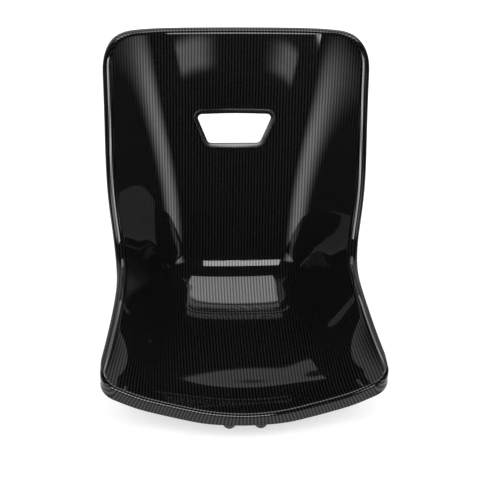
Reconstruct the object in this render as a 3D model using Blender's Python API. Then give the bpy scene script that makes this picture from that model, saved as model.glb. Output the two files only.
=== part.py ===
"""A low-back racing seat: one moulded carbon bucket on four stand-off feet.

The sitter faces -Y, +Z is up and the seat is symmetrical about the plane X = 0. The feet stand on Z = 0.
The bucket is a surface that follows a centreline down the back, round the crease and along the pan.
Distances along it, called "along", are zero at the crease, negative up the back and positive on the pan.
"""

import math

import bmesh
import bpy
import numpy as np

# Overall sizes of the bucket, in metres, on the face that touches the sitter
BACK_LENGTH = 0.455
PAN_LENGTH = 0.4155
BACK_RECLINE = math.radians(17.0)
PAN_CLEARANCE = 0.017  # lowest point of the underside above the ground
SHELL_WALL = 0.003

# Turns of the centreline: place along it, angle, and the length that the turn takes
CREASE_TURN = (0.000, math.radians(56.0), 0.085)
PAN_EASING_TURN = (0.105, math.radians(17.5), 0.150)
FRONT_RISE_TURN = (PAN_LENGTH - 0.085, math.radians(22.0), 0.095)

# Cross sections, from the top edge to the lip: place along the centreline, half width, wall depth,
# half width of the flat, size of the bend, wall curl, lean in degrees, and hollow of the flat per metre
TOP_SECTION = (-BACK_LENGTH, 0.227, 0.048, 0.158, 0.013, 1.00, 17.0, 0.30)
SHOULDER_SECTION = (-0.330, 0.2225, 0.062, 0.146, 0.016, 1.00, 17.0, 0.35)
RIB_SECTION = (-0.190, 0.220, 0.092, 0.122, 0.019, 1.05, 20.0, 0.40)
WAIST_SECTION = (0.000, 0.2000, 0.122, 0.108, 0.022, 1.15, 50.0, 0.50)
THIGH_SECTION = (0.190, 0.1995, 0.125, 0.142, 0.020, 1.05, 84.0, 0.60)
LIP_SECTION = (PAN_LENGTH, 0.2565, 0.039, 0.160, 0.016, 1.00, 92.0, 1.08)
SECTIONS = (TOP_SECTION, SHOULDER_SECTION, RIB_SECTION, WAIST_SECTION, THIGH_SECTION, LIP_SECTION)
WALL_SPREAD = 0.300  # length over which the walls carry the turn of the crease
CREASE_FADE = 0.75  # share of the wall over which the tight crease fades out

# Outline of the bucket
TOP_CORNER = (0.055, 0.056, 2.9)  # width, height and squareness of the rounded corner
LIP_CORNER = (0.026, 0.026, 2.0)
LIP_MIDDLE = 0.100  # half width of the bowed middle of the lip
LIP_BOW = 0.0145  # how far the ends of the middle stand back
LIP_SWEEP = 0.046  # how far the ends of the whole lip stand back
LIP_CREASE_EASE = 0.016
SWEEP_START = 0.100  # place along the pan where the sweep begins to bend the pattern

# Rolled rim
SIDE_ROLL = 0.0105
TOP_ROLL = 0.0080
LIP_ROLL = 0.0060
ROLL_BLEND = 0.070  # distance from the top edge or the lip over which the roll changes
SIDE_RETURN = 0.021
TOP_RETURN = 0.010
LIP_RETURN = 0.0165
LIP_END_RETURN = 0.0195

# Harness slot in the back, as the finished opening inside its trim
SLOT_DROP = 0.150  # from the top edge of the back to the top of the slot
SLOT_HEIGHT = 0.056
SLOT_TOP_WIDTH = 0.142
SLOT_BOTTOM_WIDTH = 0.095
SLOT_TOP_RADIUS = 0.007
SLOT_BOTTOM_RADIUS = 0.010
DISH_DEPTH = 0.006  # hollow above the slot that leads the straps in
DISH_WIDTH = 0.095
DISH_HEIGHT = 0.078

# Trim over the cut edge of the slot, and the ring bonded behind it
TRIM_WALL = 0.0015
TRIM_SOFTNESS = 0.0008
TRIM_GRIP = 0.0065
TRIM_GAP = 0.0005
DOUBLER_WIDTH = 0.018
DOUBLER_WALL = 0.0015
BOND_LINE = 0.0005
CUTTER_REACH = 0.024  # how far the cutter of the slot stands out of the shell on each side

# Mounting pads under the pan
PAD_THICKNESS = 0.009  # at the axis of the insert
PAD_HALF_DEPTH = 0.016
PAD_BORE_LENGTH = 0.036  # the cutter of an insert's bore, longer than any pad is thick
FRONT_PAD_MARGIN = 0.022  # from the insert's axis to the end of the pad
REAR_PAD_HALF_WIDTH = 0.017
FRONT_FOOT_SPACING = 0.0545
FRONT_FOOT_SETBACK = 0.030  # from the lip, along the pan
REAR_FOOT_SPACING = 0.150
REAR_FOOT_FROM_CREASE = 0.052

# Threaded insert, stud, washer and foot
FIT_GAP = 0.0003
STUD_RADIUS = 0.004
INSERT_RADIUS = 0.007
INSERT_LENGTH = 0.006
WASHER_RADIUS = 0.0095
WASHER_THICKNESS = 0.0016
FOOT_RADIUS = 0.011
FOOT_CHAMFER = (0.003, 0.004)
STUD_IN_FOOT = 0.007
STUD_END_GAP = 0.0005
EDGE_CHAMFER = 0.0006

# Fineness of the meshes
ROW_STEP = 0.032
ROW_TURN = math.radians(11.0)
SLOT_ROWS = 7  # extra rows round the slot, whose trim follows the shell closely
SLOT_ROWS_SPREAD = 0.190
CORNER_ROWS = 6
LIP_CORNER_ROWS = 4
COLUMNS = 28
ROLL_STEPS = 4
ROUND_SEGMENTS = 20
SLOT_CORNER_POINTS = 7
SLOT_STRAIGHT_STEP = 0.010
PAD_ROWS = 4
PAD_COLUMN_WIDTH = 0.010
CURVE_SAMPLES = 2000  # points used to measure a length along a curve
SPINE_STEP = 0.00010  # spacing of the points that the centreline is summed over
SPINE_MARGIN = 0.05  # how far the centreline is carried past both ends
NORMAL_STEP = 0.0004  # distance over which the surface's slope is taken
SHARP_ANGLE = math.radians(35.0)
MERGE_DISTANCE = 1e-6

# Looks: name, colour, roughness and metallic value
CARBON_LAMINATE = ("carbon_laminate", (0.012, 0.012, 0.013), 0.12, 0.0)
BLACK_RUBBER = ("black_rubber", (0.020, 0.020, 0.020), 0.60, 0.0)
ALUMINIUM = ("aluminium", (0.450, 0.460, 0.480), 0.35, 1.0)
PLATED_STEEL = ("plated_steel", (0.550, 0.550, 0.540), 0.30, 1.0)


def eased_step(t):
    """Climbs from 0 to 1 as t goes from -1/2 to 1/2, with no sudden change of slope."""
    t = np.clip(t, -0.5, 0.5)
    return t + 0.5 + np.sin(2 * math.pi * t) / (2 * math.pi)


def eased_ramp(t):
    """The area under eased_step: flat before -1/2 and a straight slope of one after 1/2."""
    inside = np.clip(t, -0.5, 0.5)
    curve = (inside + 0.5) ** 2 / 2 - (np.cos(2 * math.pi * inside) + 1) / (4 * math.pi**2)
    return curve + np.maximum(t - 0.5, 0)


def along_sections(along, column):
    """A value of the cross sections at any place, as straight runs with rounded corners."""
    places = [section[0] for section in SECTIONS]
    values = [section[column] for section in SECTIONS]
    slopes = np.diff(values) / np.diff(places)
    found = values[0] + slopes[0] * (along - places[0])
    for i in range(1, len(places) - 1):
        window = 2 * min(places[i] - places[i - 1], places[i + 1] - places[i])
        found = found + (slopes[i] - slopes[i - 1]) * window * eased_ramp((along - places[i]) / window)
    return found


def heading(along):
    """Direction of the centreline, from straight down towards the sitter's front."""
    found = np.full_like(along, BACK_RECLINE)
    for place, angle, length in (CREASE_TURN, PAN_EASING_TURN, FRONT_RISE_TURN):
        found = found + angle * eased_step((along - place) / length)
    return found


def softened(values):
    """The same curve with its turns spread out: straight stretches stay where they are."""
    window = np.hanning(round(WALL_SPREAD / SPINE_STEP))
    reach = len(window) // 2
    before = values[0] + (values[1] - values[0]) * np.arange(-reach, 0)
    after = values[-1] + (values[-1] - values[-2]) * np.arange(1, len(window) - reach)
    return np.convolve(np.concatenate([before, values, after]), window / window.sum(), "valid")


SPINE_ALONG = np.arange(-BACK_LENGTH - SPINE_MARGIN, PAN_LENGTH + SPINE_MARGIN, SPINE_STEP)
SPINE_Y = np.cumsum(-np.sin(heading(SPINE_ALONG))) * SPINE_STEP
SPINE_Z = np.cumsum(-np.cos(heading(SPINE_ALONG))) * SPINE_STEP
SPINE_Z = SPINE_Z - SPINE_Z.min() + PAN_CLEARANCE + SHELL_WALL
WALL_Y = softened(SPINE_Y)
WALL_Z = softened(SPINE_Z)

SLOT_TOP = -BACK_LENGTH + SLOT_DROP
SLOT_MIDDLE = SLOT_TOP + SLOT_HEIGHT / 2


def wall_bend(x, start, bend):
    """Flat in the middle and straight beyond start on either side, with a soft bend between."""
    sides = np.logaddexp(0, (x - start) / bend) + np.logaddexp(0, (-x - start) / bend)
    return bend * (sides - 2 * np.logaddexp(0, -start / bend))


def wall_share(x, along):
    """How far up the wall a point is: 0 in the flat and 1 at the rim."""
    half_width, start, bend = (along_sections(along, i) for i in (1, 3, 4))
    return np.maximum(wall_bend(x, start, bend) / wall_bend(half_width, start, bend), 0)


def depth(x, along):
    """How far the bucket stands in front of its centreline."""
    half_width, wall_depth, curl, hollow = (along_sections(along, i) for i in (1, 2, 5, 7))
    walls = (wall_depth - hollow * half_width**2) * wall_share(x, along) ** curl
    reach = (x / DISH_WIDTH) ** 2 + ((along - SLOT_TOP) / DISH_HEIGHT) ** 2
    dish = DISH_DEPTH * np.maximum(1 - reach, 0) ** 3
    return hollow * x**2 + walls - dish


def surface(x, along):
    """Points of the sitter's face of the bucket. The crease is tight in the flat and fades up the walls."""
    x, along = np.broadcast_arrays(np.asarray(x, float), np.asarray(along, float))
    lean = np.radians(along_sections(along, 6))
    out = depth(x, along)
    fade = eased_step(wall_share(x, along) / CREASE_FADE - 0.5)
    spine_y, spine_z = (np.interp(along, SPINE_ALONG, values) for values in (SPINE_Y, SPINE_Z))
    wall_y, wall_z = (np.interp(along, SPINE_ALONG, values) for values in (WALL_Y, WALL_Z))
    base_y = spine_y + fade * (wall_y - spine_y)
    base_z = spine_z + fade * (wall_z - spine_z)
    return np.stack([x, base_y - np.cos(lean) * out, base_z + np.sin(lean) * out], axis=-1)


def unit(vectors):
    return vectors / np.linalg.norm(vectors, axis=-1, keepdims=True)


def surface_normal(x, along):
    """Directions that point from the bucket to the sitter."""
    x, along = np.broadcast_arrays(np.asarray(x, float), np.asarray(along, float))
    across = surface(x + NORMAL_STEP, along) - surface(x - NORMAL_STEP, along)
    down = surface(x, along + NORMAL_STEP) - surface(x, along - NORMAL_STEP)
    return unit(np.cross(down, across))


def lip_reach(x):
    """Length of the pan at a distance from the middle: a bowed middle, then ends that sweep back."""
    half_width = along_sections(PAN_LENGTH, 1)
    beyond = eased_ramp((np.abs(x) - LIP_MIDDLE) / LIP_CREASE_EASE) * LIP_CREASE_EASE
    within = np.abs(x) - beyond
    slope = (LIP_SWEEP - LIP_BOW) / (half_width - LIP_MIDDLE)
    return PAN_LENGTH - LIP_BOW * (within / LIP_MIDDLE) ** 2 - slope * beyond


def corner_inset(distance, corner):
    """How far a rounded corner takes the side in, at a distance from the end."""
    width, height, squareness = corner
    left = np.clip(1 - distance / height, 0, 1)
    return width * (1 - (1 - left**squareness) ** (1 / squareness))


def side_places():
    """Where the rows of the mesh meet the side of the bucket, from the top edge to the lip."""
    end = float(lip_reach(along_sections(PAN_LENGTH, 1)))
    swings = np.linspace(0, math.pi / 2, CORNER_ROWS + 1)
    top = -BACK_LENGTH + TOP_CORNER[1] * (1 - np.cos(swings) ** (2 / TOP_CORNER[2]))
    swings = np.linspace(0, math.pi / 2, LIP_CORNER_ROWS + 1)
    lip = end - LIP_CORNER[1] * (1 - np.cos(swings) ** (2 / LIP_CORNER[2]))
    fine = np.linspace(top[-1], lip[-1], CURVE_SAMPLES)
    crowding = fine / ROW_STEP + heading(fine) / ROW_TURN
    crowding = crowding + SLOT_ROWS * eased_step((fine - SLOT_TOP) / SLOT_ROWS_SPREAD)
    rows = math.ceil(crowding[-1] - crowding[0])
    middle = np.interp(np.linspace(crowding[0], crowding[-1], rows + 1), crowding, fine)
    return np.concatenate([top[:-1], middle, lip[-2::-1]])


def grid():
    """The mesh's rows and columns as distances from the middle and places along the centreline."""
    end = float(lip_reach(along_sections(PAN_LENGTH, 1)))
    across, along = [], []
    for place in side_places():
        half_width = float(along_sections(place, 1))
        half_width -= float(corner_inset(place + BACK_LENGTH, TOP_CORNER))
        half_width -= float(corner_inset(end - place, LIP_CORNER))
        fine = np.linspace(0, half_width, CURVE_SAMPLES)
        steps = np.hypot(np.diff(fine), np.diff(depth(fine, place)))
        travelled = np.concatenate([[0], np.cumsum(steps)])
        right = np.interp(np.linspace(0, travelled[-1], COLUMNS // 2 + 1), travelled, fine)
        row = np.concatenate([-right[:0:-1], right])
        sweep = max(0, (place - SWEEP_START) / (end - SWEEP_START)) ** 2
        across.append(row)
        along.append(place + (lip_reach(row) - end) * sweep)
    return np.array(across), np.array(along)


def ring_of(values):
    """The border of a grid, once round."""
    return np.concatenate([values[0, :-1], values[:-1, -1], values[-1, :0:-1], values[:0:-1, 0]])


def border_rings(across, along):
    """The rolled rim and its return: rings of points outside the grid, and the way each point faces."""
    x, place = ring_of(across), ring_of(along)
    border = surface(x, place)
    normal = surface_normal(x, place)
    tangent = unit(np.roll(border, -1, axis=0) - np.roll(border, 1, axis=0))
    outward = unit(np.cross(normal, tangent))
    lean = np.radians(along_sections(place, 6))
    upward = np.stack([0 * x, -np.cos(lean), np.sin(lean)], axis=-1)
    last = np.arctan2(np.sum(normal * upward, axis=1), -np.sum(outward * upward, axis=1))
    from_top = (place + BACK_LENGTH) / ROLL_BLEND
    from_lip = (lip_reach(x) - place) / ROLL_BLEND
    roll = SIDE_ROLL + (TOP_ROLL - SIDE_ROLL) * eased_step(0.5 - from_top)
    roll = roll + (LIP_ROLL - SIDE_ROLL) * eased_step(0.5 - from_lip)
    lip_return = LIP_RETURN + (LIP_END_RETURN - LIP_RETURN) * eased_step(np.abs(x) / LIP_MIDDLE - 0.5)
    back = SIDE_RETURN + (TOP_RETURN - SIDE_RETURN) * eased_step(0.5 - from_top)
    back = back + (lip_return - SIDE_RETURN) * eased_step(0.5 - from_lip)
    rings, facings = [], []
    for step in range(1, ROLL_STEPS + 1):
        turn = (last * step / ROLL_STEPS)[:, None]
        facings.append(np.sin(turn) * outward + np.cos(turn) * normal)
        rings.append(border + roll[:, None] * (facings[-1] - normal))
    turn = last[:, None]
    rings.append(rings[-1] + back[:, None] * (np.cos(turn) * outward - np.sin(turn) * normal))
    facings.append(facings[-1])
    return rings, facings


def object_from(name, mesh, look):
    """An object with a material of its own."""
    obj = bpy.data.objects.new(name, mesh)
    bpy.context.scene.collection.objects.link(obj)
    finish, colour, roughness, metallic = look
    material = bpy.data.materials.new(f"{name}_{finish}")
    material.use_nodes = True
    shader = material.node_tree.nodes["Principled BSDF"]
    shader.inputs["Base Color"].default_value = (*colour, 1)
    shader.inputs["Roughness"].default_value = roughness
    shader.inputs["Metallic"].default_value = metallic
    obj.data.materials.append(material)
    return obj


def mesh_from(name, points, faces):
    """A mesh of triangles that all point out, so that a cut meets only flat faces."""
    mesh = bpy.data.meshes.new(name)
    corners = [tuple(map(int, face)) for face in faces]
    mesh.from_pydata([tuple(map(float, point)) for point in points], [], corners)
    work = bmesh.new()
    work.from_mesh(mesh)
    bmesh.ops.recalc_face_normals(work, faces=work.faces)
    bmesh.ops.triangulate(work, faces=work.faces)
    work.to_mesh(mesh)
    work.free()
    return mesh


def cutter(name, mesh):
    """A hidden object that cuts others."""
    obj = bpy.data.objects.new(name, mesh)
    bpy.context.scene.collection.objects.link(obj)
    obj.hide_render = True
    obj.display_type = "WIRE"
    return obj


def cut(obj, tool):
    modifier = obj.modifiers.new("cut", "BOOLEAN")
    modifier.operation = "DIFFERENCE"
    modifier.solver = "EXACT"
    modifier.object = tool


def shade_round(obj):
    obj.data.shade_smooth()
    obj.data.set_sharp_from_angle(angle=SHARP_ANGLE)


def slot_outline(outset):
    """The outline of the harness slot, grown by outset: distances from the middle and places."""
    half = SLOT_HEIGHT / 2
    slant = math.atan2((SLOT_TOP_WIDTH - SLOT_BOTTOM_WIDTH) / 2, SLOT_HEIGHT)
    corners = (
        (SLOT_TOP_WIDTH / 2, half, SLOT_TOP_RADIUS, 0.0, math.pi / 2 + slant),
        (SLOT_BOTTOM_WIDTH / 2, -half, SLOT_BOTTOM_RADIUS, math.pi / 2 + slant, math.pi),
    )
    right = []
    for x, up, radius, first, last in corners:
        # The centre of a corner's arc lies on the bisector of its two sides.
        bisector = (first + last) / 2
        reach = radius / math.cos((last - first) / 2)
        middle_x = x - reach * math.sin(bisector)
        middle_up = up - reach * math.cos(bisector)
        for angle in np.linspace(first, last, SLOT_CORNER_POINTS):
            right.append((middle_x, middle_up, radius, math.sin(angle), math.cos(angle)))
    stops = [*right, *[(-x, up, radius, -dx, dy) for x, up, radius, dx, dy in reversed(right)]]
    found = []
    for start, end in zip(stops, stops[1:] + stops[:1]):
        places = [(x + radius * dx, up + radius * dy) for x, up, radius, dx, dy in (start, end)]
        pieces = max(1, math.ceil(math.dist(*places) / SLOT_STRAIGHT_STEP))
        for i in range(pieces):
            share = i / pieces
            x, up = ((1 - share) * a + share * b for a, b in zip(*places))
            dx, dy = ((1 - share) * a + share * b for a, b in zip(start[3:], end[3:]))
            found.append((x + outset * dx, SLOT_MIDDLE - up - outset * dy))
    return np.array(found).T


def slot_ring(outset, lift):
    """Points round the slot, outset from its opening and lifted from the shell's face."""
    x, along = slot_outline(outset)
    return surface(x, along) + lift * surface_normal(x, along)


def swept_ring(name, profile, look):
    """A closed ring round the slot whose section is a profile of (outset, lift) pairs."""
    rings = [slot_ring(outset, lift) for outset, lift in profile]
    count = len(rings[0])
    index = np.arange(len(rings) * count).reshape(len(rings), count)
    faces = []
    for k in range(len(rings)):
        faces += joined(index[k], index[k - 1])
    obj = object_from(name, mesh_from(name, np.concatenate(rings), faces), look)
    shade_round(obj)
    return obj


def seat_shell(look):
    """The bucket: the sitter's face and rolled rim, the same a wall's thickness behind, and the cut edge."""
    across, along = grid()
    rows, columns = across.shape
    index = np.arange(rows * columns).reshape(rows, columns)
    faces = [
        (index[i, j], index[i + 1, j], index[i + 1, j + 1], index[i, j + 1])
        for i in range(rows - 1)
        for j in range(columns - 1)
    ]
    rings, facings = border_rings(across, along)
    previous = ring_of(index)
    count = rows * columns
    for _ in rings:
        current = np.arange(len(previous)) + count
        faces += joined(current, previous)
        count += len(current)
        previous = current
    front = np.concatenate([surface(across, along).reshape(-1, 3), *rings])
    facing = np.concatenate([surface_normal(across, along).reshape(-1, 3), *facings])
    back = front - SHELL_WALL * facing
    faces += [tuple(corner + count for corner in reversed(face)) for face in faces]
    faces += joined(previous + count, previous)
    obj = object_from("seat_shell", mesh_from("seat_shell", [*front, *back], faces), look)
    cut(obj, slot_cutter())
    shade_round(obj)
    return obj


def joined(outer, inner):
    """Faces between two rings of the same length."""
    following = np.roll(np.arange(len(outer)), -1)
    return [(inner[k], inner[n], outer[n], outer[k]) for k, n in enumerate(following)]


def slot_cutter():
    """A plug that leaves room for the web of the trim between the opening and the shell."""
    reach = CUTTER_REACH
    outset = TRIM_WALL + TRIM_GAP
    outer = slot_ring(outset, reach)
    count = len(outer)
    middle = surface(0, SLOT_MIDDLE)
    lift = reach * surface_normal(0, SLOT_MIDDLE)
    points = [*outer, *slot_ring(outset, -reach), middle + lift, middle - lift]
    faces = joined(np.arange(count), np.arange(count, 2 * count))
    for i in range(count):
        n = (i + 1) % count
        faces += [(i, n, 2 * count), (count + i, count + n, 2 * count + 1)]
    return cutter("slot_cutter", mesh_from("slot_cutter", points, faces))


def slot_trim(look):
    """A channel that grips the shell's cut edge, its open side turned away from the slot."""
    web = TRIM_WALL
    end = TRIM_WALL + TRIM_GAP + TRIM_GRIP
    front = TRIM_GAP
    rear = -SHELL_WALL - TRIM_GAP
    soft = TRIM_SOFTNESS
    profile = (
        (0, rear - TRIM_WALL + soft),
        (0, front + TRIM_WALL - soft),
        (soft, front + TRIM_WALL),
        (end - soft, front + TRIM_WALL),
        (end, front + TRIM_WALL - soft),
        (end, front),
        (web, front),
        (web, rear),
        (end, rear),
        (end, rear - TRIM_WALL + soft),
        (end - soft, rear - TRIM_WALL),
        (soft, rear - TRIM_WALL),
    )
    return swept_ring("slot_trim", profile, look)


def slot_doubler(look):
    """A ring of laminate bonded behind the shell, just outside the trim."""
    near = TRIM_WALL + TRIM_GAP + TRIM_GRIP + TRIM_GAP
    front = -SHELL_WALL - BOND_LINE
    profile = (
        (near, front),
        (near + DOUBLER_WIDTH / 2, front),
        (near + DOUBLER_WIDTH, front),
        (near + DOUBLER_WIDTH, front - DOUBLER_WALL),
        (near + DOUBLER_WIDTH / 2, front - DOUBLER_WALL),
        (near, front - DOUBLER_WALL),
    )
    return swept_ring("slot_doubler", profile, look)


def turned(name, outline, x, y, look):
    """A round piece: outline is a closed list of (radius, height) pairs, turned about an upright axis."""
    work = bmesh.new()
    points = [work.verts.new((x + radius, y, z)) for radius, z in outline]
    edges = [work.edges.new((points[i - 1], points[i])) for i in range(len(points))]
    bmesh.ops.spin(
        work,
        geom=points + edges,
        cent=(x, y, 0),
        axis=(0, 0, 1),
        angle=2 * math.pi,
        steps=ROUND_SEGMENTS,
        use_merge=True,
    )
    bmesh.ops.remove_doubles(work, verts=work.verts, dist=MERGE_DISTANCE)
    bmesh.ops.recalc_face_normals(work, faces=work.faces)
    mesh = bpy.data.meshes.new(name)
    work.to_mesh(mesh)
    work.free()
    if look is None:
        return cutter(name, mesh)
    obj = object_from(name, mesh, look)
    shade_round(obj)
    return obj


def mount_pad(name, left, right, along, insert_places, look):
    """A block whose top follows the shell's underside and whose foot side is flat."""
    xs = np.linspace(left, right, max(PAD_ROWS, math.ceil((right - left) / PAD_COLUMN_WIDTH)) + 1)
    places = np.linspace(along - PAD_HALF_DEPTH, along + PAD_HALF_DEPTH, PAD_ROWS + 1)
    x, place = np.meshgrid(xs, places)
    top = surface(x, place) - (SHELL_WALL + BOND_LINE) * surface_normal(x, place)
    bottom = top.copy()
    bottom[..., 2] = pad_bottom(insert_places[0], along)
    rows, columns = x.shape
    count = rows * columns
    index = np.arange(count).reshape(rows, columns)
    faces = []
    for i in range(rows - 1):
        for j in range(columns - 1):
            quad = (index[i, j], index[i, j + 1], index[i + 1, j + 1], index[i + 1, j])
            faces += [quad, tuple(corner + count for corner in quad)]
    ring = ring_of(index)
    for k, here in enumerate(ring):
        there = ring[(k + 1) % len(ring)]
        faces.append((here, there, there + count, here + count))
    points = [*top.reshape(-1, 3), *bottom.reshape(-1, 3)]
    obj = object_from(name, mesh_from(name, points, faces), look)
    for i, insert_x in enumerate(insert_places):
        y = foot_y(insert_x, along)
        low = pad_bottom(insert_x, along) - PAD_THICKNESS
        high = low + PAD_BORE_LENGTH
        radius = INSERT_RADIUS + FIT_GAP
        outline = ((0, low), (radius, low), (radius, high), (0, high))
        cut(obj, turned(f"{name}_bore_{i}", outline, insert_x, y, None))
    shade_round(obj)
    return obj


def under_surface(x, along):
    """The shell's underside at a foot."""
    return surface(x, along) - SHELL_WALL * surface_normal(x, along)


def foot_y(x, along):
    return float(under_surface(abs(x), along)[1])


def pad_bottom(x, along):
    return float(under_surface(abs(x), along)[2]) - BOND_LINE - PAD_THICKNESS


def foot_set(side, x, along):
    """One foot with its washer, its stud and the insert that the stud screws into."""
    y = foot_y(x, along)
    face = pad_bottom(x, along)
    foot_top = face - WASHER_THICKNESS - 2 * FIT_GAP
    bore = STUD_RADIUS + FIT_GAP
    chamfer = EDGE_CHAMFER
    insert = (
        (bore, face),
        (INSERT_RADIUS, face),
        (INSERT_RADIUS, face + INSERT_LENGTH - chamfer),
        (INSERT_RADIUS - chamfer, face + INSERT_LENGTH),
        (bore, face + INSERT_LENGTH),
    )
    turned(f"insert_{side}", insert, x, y, ALUMINIUM)
    low = foot_top + FIT_GAP
    washer = (
        (bore, low),
        (WASHER_RADIUS, low),
        (WASHER_RADIUS, low + WASHER_THICKNESS),
        (bore, low + WASHER_THICKNESS),
    )
    turned(f"washer_{side}", washer, x, y, PLATED_STEEL)
    stud_low = foot_top - STUD_IN_FOOT
    stud_high = face + INSERT_LENGTH - chamfer
    stud = (
        (0, stud_low),
        (STUD_RADIUS - chamfer, stud_low),
        (STUD_RADIUS, stud_low + chamfer),
        (STUD_RADIUS, stud_high - chamfer),
        (STUD_RADIUS - chamfer, stud_high),
        (0, stud_high),
    )
    turned(f"stud_{side}", stud, x, y, PLATED_STEEL)
    inset, rise = FOOT_CHAMFER
    pocket = stud_low - STUD_END_GAP
    foot = (
        (0, 0),
        (FOOT_RADIUS - inset, 0),
        (FOOT_RADIUS, rise),
        (FOOT_RADIUS, foot_top - chamfer),
        (FOOT_RADIUS - chamfer, foot_top),
        (bore, foot_top),
        (bore, pocket),
        (0, pocket),
    )
    turned(f"foot_{side}", foot, x, y, BLACK_RUBBER)


def centre_on_origin():
    """Moves everything so that the middle of the whole object's box stands on the origin."""
    bpy.context.view_layer.update()
    graph = bpy.context.evaluated_depsgraph_get()
    lows, highs = [], []
    for obj in bpy.context.scene.objects:
        if obj.hide_render:
            continue
        mesh = obj.evaluated_get(graph).to_mesh()
        points = np.array([vertex.co for vertex in mesh.vertices])
        lows.append(points.min(axis=0))
        highs.append(points.max(axis=0))
    middle = (np.min(lows, axis=0) + np.max(highs, axis=0)) / 2
    for obj in bpy.context.scene.objects:
        obj.location.y = -float(middle[1])
    bpy.context.view_layer.update()


def main():
    for obj in list(bpy.data.objects):
        bpy.data.objects.remove(obj, do_unlink=True)
    seat_shell(CARBON_LAMINATE)
    slot_trim(BLACK_RUBBER)
    slot_doubler(CARBON_LAMINATE)
    front = PAN_LENGTH - FRONT_FOOT_SETBACK
    front_x = FRONT_FOOT_SPACING / 2
    end = front_x + FRONT_PAD_MARGIN
    mount_pad("front_mount_pad", -end, end, front, (-front_x, front_x), CARBON_LAMINATE)
    rear = REAR_FOOT_FROM_CREASE
    for side, sign in (("left", -1), ("right", 1)):
        x = sign * REAR_FOOT_SPACING / 2
        left, right = x - REAR_PAD_HALF_WIDTH, x + REAR_PAD_HALF_WIDTH
        mount_pad(f"rear_mount_pad_{side}", left, right, rear, (x,), CARBON_LAMINATE)
        foot_set(f"front_{side}", sign * front_x, front)
        foot_set(f"rear_{side}", x, rear)
    centre_on_origin()


main()
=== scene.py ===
import math

import bpy
import numpy as np
from mathutils import Matrix, Vector


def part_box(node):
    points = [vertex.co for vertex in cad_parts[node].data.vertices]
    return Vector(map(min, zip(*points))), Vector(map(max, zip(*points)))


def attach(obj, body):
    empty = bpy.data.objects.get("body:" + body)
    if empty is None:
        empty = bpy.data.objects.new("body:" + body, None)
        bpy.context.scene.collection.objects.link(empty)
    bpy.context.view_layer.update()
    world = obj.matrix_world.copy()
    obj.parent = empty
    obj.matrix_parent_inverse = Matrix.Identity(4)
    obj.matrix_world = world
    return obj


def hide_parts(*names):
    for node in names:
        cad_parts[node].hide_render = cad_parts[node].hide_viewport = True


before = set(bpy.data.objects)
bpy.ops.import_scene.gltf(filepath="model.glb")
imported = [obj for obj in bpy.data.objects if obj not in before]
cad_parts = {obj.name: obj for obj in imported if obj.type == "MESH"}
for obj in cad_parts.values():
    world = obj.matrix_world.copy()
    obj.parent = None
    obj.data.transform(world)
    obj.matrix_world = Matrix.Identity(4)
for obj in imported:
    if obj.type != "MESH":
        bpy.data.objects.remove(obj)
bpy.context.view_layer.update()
print("frame loaded")


# The bucket, in metres and radians unless a note says otherwise

bucket = {
    "backLength": 0.455,
    "panLength": 0.4155,
    "recline": math.radians(17.0),
    "wall": 0.003,
    # place along the centreline, turn and the length that the turn takes
    "turns": (
        (0.000, math.radians(56.0), 0.085),
        (0.105, math.radians(17.5), 0.150),
        (0.3305, math.radians(22.0), 0.095),
    ),
    # place, half width, wall depth, half width of the flat, bend, curl, lean in degrees, hollow per metre
    "sections": (
        (-0.455, 0.2270, 0.048, 0.158, 0.013, 1.00, 17.0, 0.30),
        (-0.330, 0.2225, 0.062, 0.146, 0.016, 1.00, 17.0, 0.35),
        (-0.190, 0.2200, 0.092, 0.122, 0.019, 1.05, 20.0, 0.40),
        (0.000, 0.2000, 0.122, 0.108, 0.022, 1.15, 50.0, 0.50),
        (0.190, 0.1995, 0.125, 0.142, 0.020, 1.05, 84.0, 0.60),
        (0.4155, 0.2565, 0.039, 0.160, 0.016, 1.00, 92.0, 1.08),
    ),
    "wallSpread": 0.300,
    "creaseFade": 0.75,
    # width, height and squareness of the corners
    "topCorner": (0.055, 0.056, 2.9),
    "lipCorner": (0.026, 0.026, 2.0),
    "lipMiddle": 0.100,
    "lipBow": 0.0145,
    "lipSweep": 0.046,
    "lipCreaseEase": 0.016,
    "sweepStart": 0.100,
    "sideRoll": 0.0105,
    "topRoll": 0.0080,
    "lipRoll": 0.0060,
    "rollBlend": 0.070,
    "sideReturn": 0.021,
    "topReturn": 0.010,
    "lipReturn": 0.0165,
    "lipEndReturn": 0.0195,
    "rowStep": 0.0042,
    "rowTurn": math.radians(2.4),
    "columns": 140,
    "cornerRows": 26,
    "lipCornerRows": 14,
    "rollSteps": 12,
    "returnSteps": 4,
    "rowSamples": 4000,
    "columnSamples": 1200,
    "sharpFrom": math.radians(40),
}

slot = {
    "drop": 0.150,
    "height": 0.056,
    "topWidth": 0.142,
    "bottomWidth": 0.095,
    "topRadius": 0.007,
    "bottomRadius": 0.010,
    "trimWall": 0.0015,
    "trimGap": 0.0005,
    "dishDepth": 0.006,
    "dishWidth": 0.095,
    "dishHeight": 0.078,
    "cornerPoints": 14,
    "straightStep": 0.003,
}
slot["top"] = -bucket["backLength"] + slot["drop"]
slot["middle"] = slot["top"] + slot["height"] / 2

centrelineStep = 0.0001
centrelineMargin = 0.05
slopeStep = 0.0004
closeEnough = 1e-6


def easedStep(t):
    t = np.clip(t, -0.5, 0.5)
    return t + 0.5 + np.sin(2 * math.pi * t) / (2 * math.pi)


def easedRamp(t):
    inside = np.clip(t, -0.5, 0.5)
    curve = (inside + 0.5) ** 2 / 2 - (np.cos(2 * math.pi * inside) + 1) / (4 * math.pi**2)
    return curve + np.maximum(t - 0.5, 0)


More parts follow.
